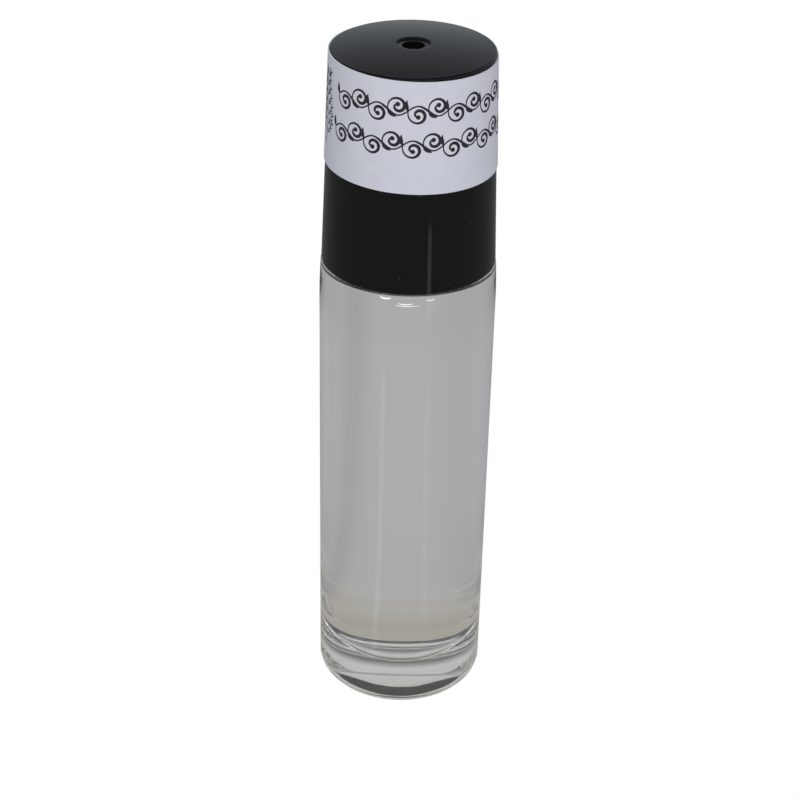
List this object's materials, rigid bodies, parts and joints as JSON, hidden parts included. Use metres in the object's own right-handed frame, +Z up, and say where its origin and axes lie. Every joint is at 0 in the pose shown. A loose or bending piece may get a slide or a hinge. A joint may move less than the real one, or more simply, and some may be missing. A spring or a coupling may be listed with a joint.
{
  "type": "roll on bottle",
  "caption": "Small cylindrical glass roll-on bottle filled with oil, with a roller ball in a snap-in housing under a tapered black screw cap with a wrapped paper label.",
  "frame": {"origin": "centre of the base, on the surface that the bottle stands on", "axes": "+Z up the bottle's axis towards the cap, -Y out of the front of the label, +X to the right seen from the front"},
  "size_m": [0.0206, 0.0206, 0.0845],
  "materials": {
    "glass_bottle": "clear moulded glass",
    "perfume_oil": "clear pale oil",
    "roller_housing": "natural polyethylene",
    "roller_ball": "polished stainless steel",
    "seal_disc": "soft foamed polyethylene",
    "cap_inner": "moulded black polypropylene",
    "cap_shell": "gloss black",
    "cap_label": "matt white paper"
  },
  "bodies": {
    "bottle": {"glass_bottle": "glass_bottle", "perfume_oil": "perfume_oil", "roller_housing": "roller_housing"},
    "ball": {"roller_ball": "roller_ball"},
    "seal": {"seal_disc": "seal_disc"},
    "cap": {"cap_shell": "cap_shell", "cap_inner": "cap_inner", "cap_label": "cap_label"}
  },
  "joints": [
    {"name": "ball_roll", "type": "hinge", "parent": "bottle", "child": "ball", "pos_m": [0, 0, 0.0721], "axis": [1, 0, 0], "continuous": true},
    {"name": "cap_lift", "type": "slide", "parent": "bottle", "child": "seal", "axis": [0, 0, 1], "range_m": [0, 0.03001]},
    {"name": "cap_turn", "type": "hinge", "parent": "seal", "child": "cap", "pos_m": [0, 0, 0.0721], "axis": [0, 0, 1], "range_deg": [0, 3600]}
  ],
  "couplings": [
    {"joint": "cap_lift", "follows": "cap_turn", "m_per_rad": 0.00047746}
  ]
}
